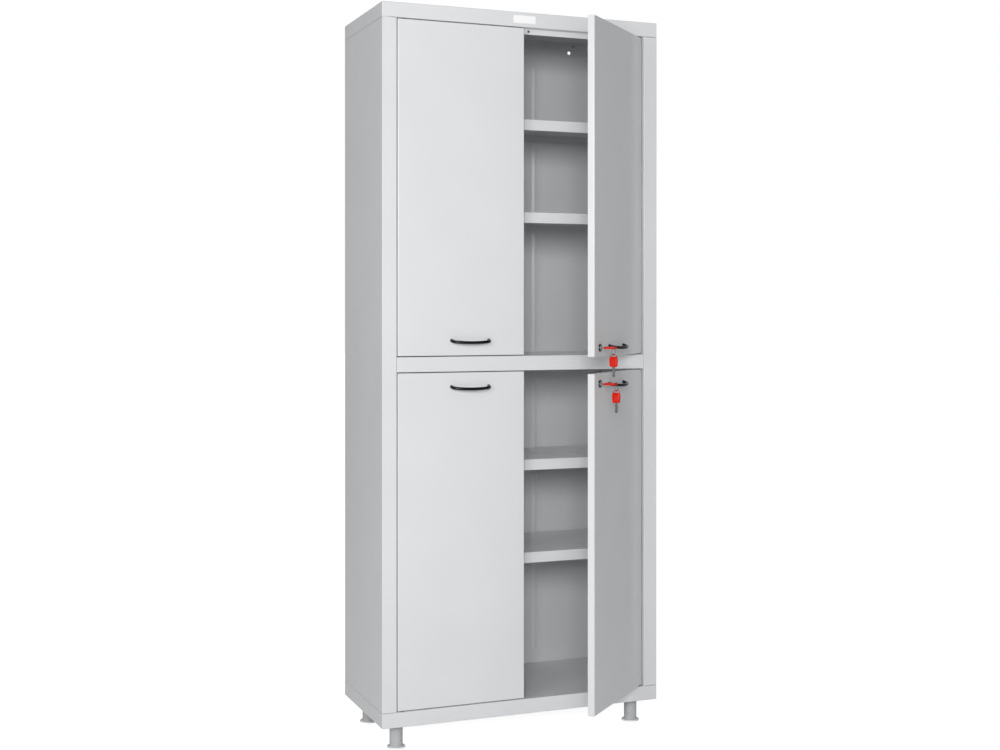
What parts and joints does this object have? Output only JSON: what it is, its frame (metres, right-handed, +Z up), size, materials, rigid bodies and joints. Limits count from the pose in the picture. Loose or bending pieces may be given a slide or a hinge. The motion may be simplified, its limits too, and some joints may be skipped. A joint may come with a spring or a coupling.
{
  "type": "medicine cabinet",
  "caption": "Tall sheet-steel medicine cabinet on round legs: two sections of shelves behind pivot-hung doors with bow handles and cam locks.",
  "frame": {"origin": "on the floor under the middle of the cabinet's body", "axes": "+X to the right seen from the front, the front faces -Y, +Z up"},
  "size_m": [0.7, 0.5413, 1.713],
  "materials": {
    "paint": "semi-gloss",
    "handle": "gloss black",
    "nylon": "moulded",
    "key": "moulded red head",
    "chrome": "polished",
    "zinc": "zinc plated",
    "rubber": "matt",
    "foot": "moulded",
    "plate": "satin"
  },
  "bodies": {
    "cabinet": {"top_panel": "paint", "bottom_panel": "paint", "left_side_panel": "paint", "right_side_panel": "paint", "back_panel": "paint", "middle_shelf": "paint", "maker_plate": "plate", "upper_high_shelf": "paint", "upper_low_shelf": "paint", "lower_high_shelf": "paint", "lower_low_shelf": "paint", "shelf_clips": "paint", "carcass_rivets": "paint", "pivot_pins": "zinc", "door_bumpers": "rubber", "legs": "paint", "leg_screws": "zinc"},
    "upper_left_door": {"upper_left_door": "paint", "upper_left_door_stiffener": "paint", "upper_left_door_bushes": "nylon", "upper_left_handle": "handle", "upper_left_handle_screws": "zinc", "upper_bolt_bracket": "zinc"},
    "upper_right_door": {"upper_right_door": "paint", "upper_right_door_stiffener": "paint", "upper_right_door_bushes": "nylon", "upper_right_handle": "handle", "upper_right_handle_screws": "zinc", "upper_lock_housing": "chrome", "upper_lock_nut": "zinc"},
    "lower_left_door": {"lower_left_door": "paint", "lower_left_door_stiffener": "paint", "lower_left_door_bushes": "nylon", "lower_left_handle": "handle", "lower_left_handle_screws": "zinc", "lower_bolt_bracket": "zinc"},
    "lower_right_door": {"lower_right_door": "paint", "lower_right_door_stiffener": "paint", "lower_right_door_bushes": "nylon", "lower_right_handle": "handle", "lower_right_handle_screws": "zinc", "lower_lock_housing": "chrome", "lower_lock_nut": "zinc"},
    "upper_lock": {"upper_lock_plug": "chrome", "upper_lock_cam": "zinc", "upper_lock_key": "key"},
    "upper_spare": {"upper_key_ring": "zinc", "upper_spare_key": "key"},
    "upper_bolt": {"upper_slide_bolt": "zinc"},
    "lower_lock": {"lower_lock_plug": "chrome", "lower_lock_cam": "zinc", "lower_lock_key": "key"},
    "lower_spare": {"lower_key_ring": "zinc", "lower_spare_key": "key"},
    "lower_bolt": {"lower_slide_bolt": "zinc"},
    "front_left_foot": {"front_left_foot": "foot"},
    "back_left_foot": {"back_left_foot": "foot"},
    "front_right_foot": {"front_right_foot": "foot"},
    "back_right_foot": {"back_right_foot": "foot"}
  },
  "joints": [
    {"name": "upper_left_door_swing", "type": "hinge", "parent": "cabinet", "child": "upper_left_door", "pos_m": [-0.301, -0.154, 0.925], "axis": [0, 0, -1], "range_deg": [0, 120]},
    {"name": "upper_right_door_swing", "type": "hinge", "parent": "cabinet", "child": "upper_right_door", "pos_m": [0.301, -0.154, 0.925], "axis": [0, 0, 1], "range_deg": [-43, 77]},
    {"name": "lower_left_door_swing", "type": "hinge", "parent": "cabinet", "child": "lower_left_door", "pos_m": [-0.301, -0.154, 0.843], "axis": [0, 0, -1], "range_deg": [0, 120]},
    {"name": "lower_right_door_swing", "type": "hinge", "parent": "cabinet", "child": "lower_right_door", "pos_m": [0.301, -0.154, 0.843], "axis": [0, 0, 1], "range_deg": [-43, 77]},
    {"name": "upper_lock_turn", "type": "hinge", "parent": "upper_right_door", "child": "upper_lock", "pos_m": [0.10982, -0.34048, 0.925], "axis": [-0.682, 0.7314, 0], "range_deg": [-90, 0]},
    {"name": "upper_spare_swing", "type": "hinge", "parent": "upper_lock", "child": "upper_spare", "pos_m": [0.12864, -0.37298, 0.925], "axis": [-0.682, 0.7314, 0], "range_deg": [-40, 25]},
    {"name": "upper_bolt_slide", "type": "slide", "parent": "upper_left_door", "child": "upper_bolt", "axis": [0, 0, -1], "range_m": [0, 0.016]},
    {"name": "lower_lock_turn", "type": "hinge", "parent": "lower_right_door", "child": "lower_lock", "pos_m": [0.10982, -0.34048, 0.843], "axis": [-0.682, 0.7314, 0], "range_deg": [-90, 0]},
    {"name": "lower_spare_swing", "type": "hinge", "parent": "lower_lock", "child": "lower_spare", "pos_m": [0.14092, -0.36152, 0.843], "axis": [-0.682, 0.7314, 0], "range_deg": [-25, 40]},
    {"name": "lower_bolt_slide", "type": "slide", "parent": "lower_left_door", "child": "lower_bolt", "axis": [0, 0, 1], "range_m": [0, 0.016]},
    {"name": "front_left_foot_level", "type": "slide", "parent": "cabinet", "child": "front_left_foot", "axis": [0, 0, -1], "range_m": [0, 0.015]},
    {"name": "back_left_foot_level", "type": "slide", "parent": "cabinet", "child": "back_left_foot", "axis": [0, 0, -1], "range_m": [0, 0.015]},
    {"name": "front_right_foot_level", "type": "slide", "parent": "cabinet", "child": "front_right_foot", "axis": [0, 0, -1], "range_m": [0, 0.015]},
    {"name": "back_right_foot_level", "type": "slide", "parent": "cabinet", "child": "back_right_foot", "axis": [0, 0, -1], "range_m": [0, 0.015]}
  ]
}
